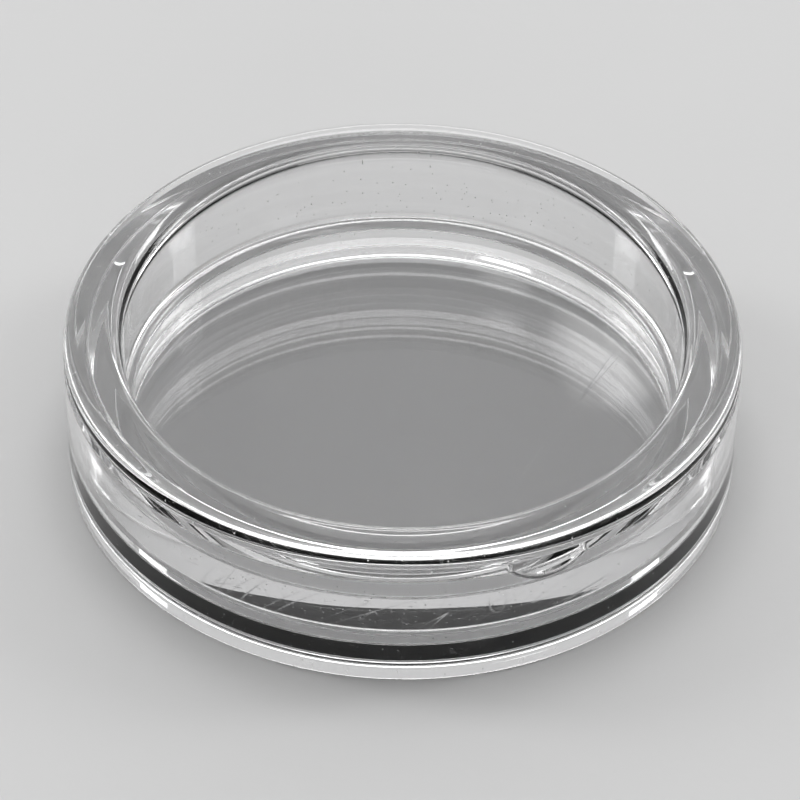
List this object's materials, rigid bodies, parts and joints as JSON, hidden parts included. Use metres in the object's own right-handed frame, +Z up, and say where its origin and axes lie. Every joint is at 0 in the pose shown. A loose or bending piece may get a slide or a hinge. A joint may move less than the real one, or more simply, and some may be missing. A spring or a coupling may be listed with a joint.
{
  "type": "coin capsule",
  "caption": "Clear round push-fit capsule that holds a coin flat between a floor window and a lid window, with a thumbnail notch for opening.",
  "frame": {"origin": "centre of the circle that the foot ring rests on, on the capsule's axis", "axes": "+Z up along the axis, from the base to the lid; the thumbnail notch is in the base's rim near -Y, 25 degrees towards +X"},
  "size_m": [0.036, 0.036, 0.0085],
  "materials": {
    "clear_plastic_base": "colourless, transparent, polished in the mould",
    "clear_plastic_lid": "colourless, transparent, polished in the mould"
  },
  "bodies": {
    "base": {"base": "clear_plastic_base"},
    "lid": {"lid": "clear_plastic_lid"}
  },
  "joints": [
    {"name": "lid_lift", "type": "slide", "parent": "base", "child": "lid", "axis": [0, 0, 1], "range_m": [0, 0.012]}
  ]
}
